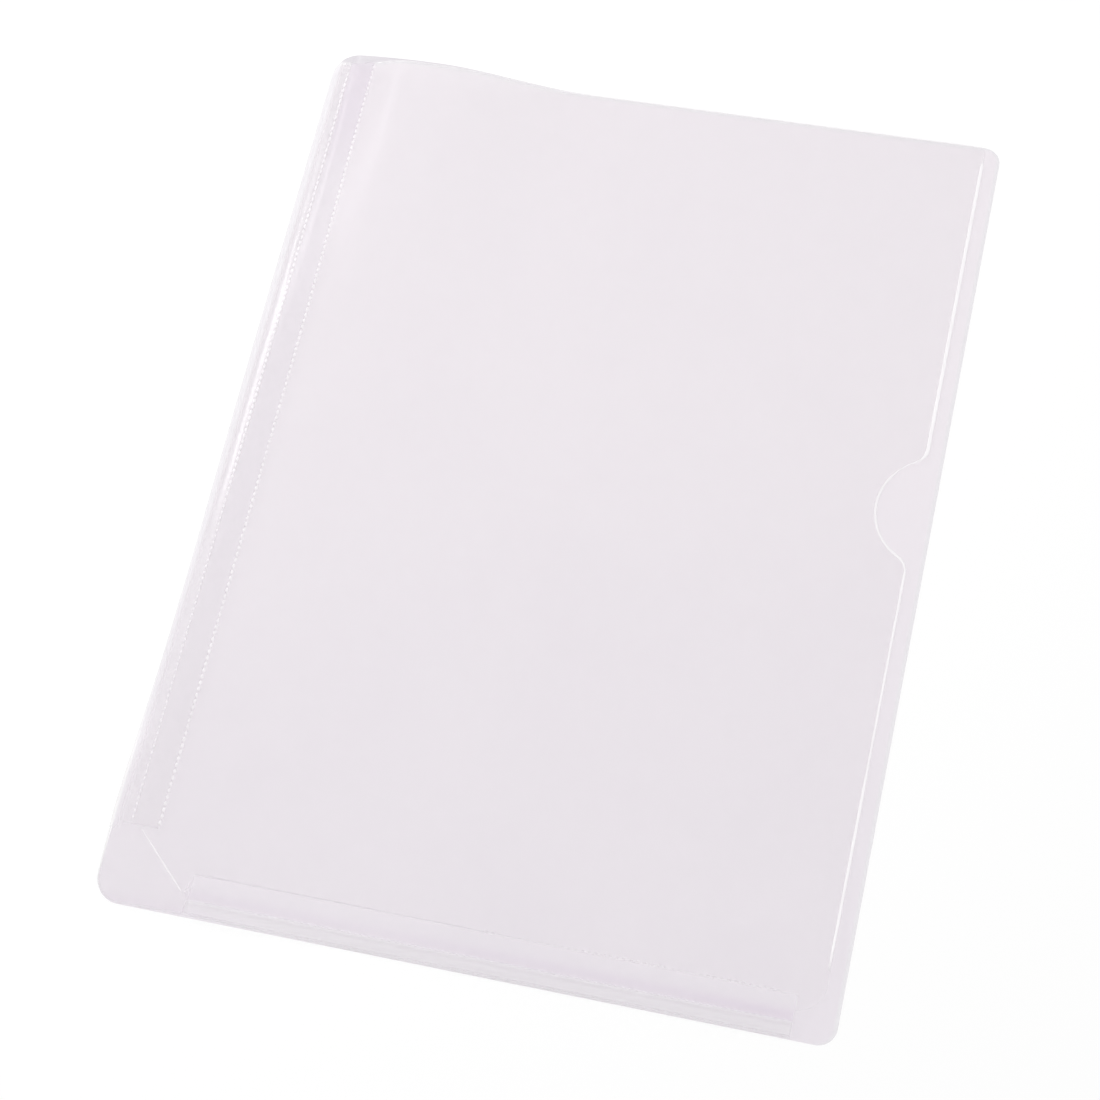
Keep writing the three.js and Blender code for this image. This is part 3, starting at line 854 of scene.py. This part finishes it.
# The diagonal weld at the lower left corner, between the two gussets' ends, and its short end
cornerWeld = {
    "start": (11.1, 24.5), "end": (29.9, 6.8), "halfWidth": 0.33, "halfHeight": 0.07, "sunk": 0.04,
    "count": 25, "places": (0.0, 0.1, 0.6, 0.95, 1.0), "sizes": (0.3, 0.55, 1.0, 0.9, 0.2),
    "shortStart": (30.5, 6.6), "shortEnd": (32.1, 13.2), "shortHalfWidth": 0.35,
    "shortCount": 9, "shortSizes": (0.9, 0.3),
}
along = np.linspace(0.0, 1.0, cornerWeld["count"])
diagonal = bar(
    "corner_weld_line", np.linspace(cornerWeld["start"], cornerWeld["end"], cornerWeld["count"]),
    underFront(cornerWeld["sunk"]), cornerWeld["halfWidth"], cornerWeld["halfHeight"], weldMaterial,
    np.interp(along, cornerWeld["places"], cornerWeld["sizes"]),
)
shortWeld = bar(
    "corner_weld_end",
    np.linspace(cornerWeld["shortStart"], cornerWeld["shortEnd"], cornerWeld["shortCount"]),
    underFront(cornerWeld["sunk"]), cornerWeld["shortHalfWidth"], cornerWeld["halfHeight"], faintMaterial,
    np.linspace(*cornerWeld["shortSizes"], cornerWeld["shortCount"]),
)
for piece in (diagonal, shortWeld):
    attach(piece, "front_sheet")
print("edges and welds made")

# A pale floor, a touch below the pocket: matt, and lifted to white where the camera sees it
floorLook = {"half": 3.0, "z": -0.0002, "color": (0.8, 0.8, 0.8, 1.0), "glow": 0.215}
floorMesh = bpy.data.meshes.new("floor")
floorMesh.from_pydata([
    (side * floorLook["half"], end * floorLook["half"], floorLook["z"])
    for side, end in ((-1, -1), (1, -1), (1, 1), (-1, 1))
], [], [(0, 1, 2, 3)])
floor = bpy.data.objects.new("floor", floorMesh)
bpy.context.scene.collection.objects.link(floor)
floorMaterial = bpy.data.materials.new("floorWhite")
floorMaterial.use_nodes = True
tree = floorMaterial.node_tree
tree.nodes.remove(tree.nodes["Principled BSDF"])
matt = tree.nodes.new("ShaderNodeBsdfDiffuse")
matt.inputs["Color"].default_value = floorLook["color"]
glow = tree.nodes.new("ShaderNodeEmission")
seen = tree.nodes.new("ShaderNodeLightPath").outputs["Is Camera Ray"]
tree.links.new(mathNode(tree, "MULTIPLY", seen, floorLook["glow"]), glow.inputs["Strength"])
added = tree.nodes.new("ShaderNodeAddShader")
tree.links.new(matt.outputs["BSDF"], added.inputs[0])
tree.links.new(glow.outputs["Emission"], added.inputs[1])
tree.links.new(added.outputs["Shader"], tree.nodes["Material Output"].inputs["Surface"])
floorMesh.materials.append(floorMaterial)

room = {"color": (1.0, 1.0, 1.0, 1.0), "strength": 0.81}
world = bpy.data.worlds.new("softRoom")
bpy.context.scene.world = world
world.use_nodes = True
background = world.node_tree.nodes["Background"]
background.inputs["Color"].default_value = room["color"]
background.inputs["Strength"].default_value = room["strength"]


# A rectangular lamp at a place, turned towards a target with its long side along y
def softLamp(name, place, target, sides, power):
    data = bpy.data.lights.new(name, "AREA")
    data.shape = "RECTANGLE"
    data.size, data.size_y = sides
    data.energy = power
    lamp = bpy.data.objects.new(name, data)
    bpy.context.scene.collection.objects.link(lamp)
    back = (Vector(place) - Vector(target)).normalized()
    side = Vector((0.0, 1.0, 0.0)).cross(back).normalized()
    turned = Matrix((side, back.cross(side), back)).transposed().to_4x4()
    lamp.matrix_world = Matrix.Translation(place) @ turned


softLamp("leftBox", (-0.8303, 0.4994, 0.8508), (-0.1145, 0.039, 0.0), (0.2, 0.34), 3.85)
softLamp("rightBox", (0.7, -0.2, 1.1), (0.0, 0.0, 0.0), (0.9, 0.9), 1.0)

# The photograph's viewpoint: the camera's right, up and back directions, and its place
photoView = {
    "right": (0.96819202, 0.22094507, -0.11742012), "up": (-0.16340863, 0.91374734, 0.37197233),
    "back": (0.18947777, -0.34095318, 0.92078722), "place": (0.15885, -0.30244, 0.77808),
    "lens": 83.85, "sensor": 36.0,
}
cameraData = bpy.data.cameras.new("photoCamera")
cameraData.sensor_width = photoView["sensor"]
cameraData.lens = photoView["lens"]
cameraData.clip_start = 0.01
cameraData.clip_end = 20.0
camera = bpy.data.objects.new("photoCamera", cameraData)
bpy.context.scene.collection.objects.link(camera)
turned = Matrix([photoView[side] for side in ("right", "up", "back")]).transposed().to_4x4()
camera.matrix_world = Matrix.Translation(photoView["place"]) @ turned
bpy.context.scene.camera = camera
bpy.context.scene.cycles.transparent_max_bounces = 32
bpy.context.scene.view_settings.view_transform = "Standard"
print("floor, light and camera made")
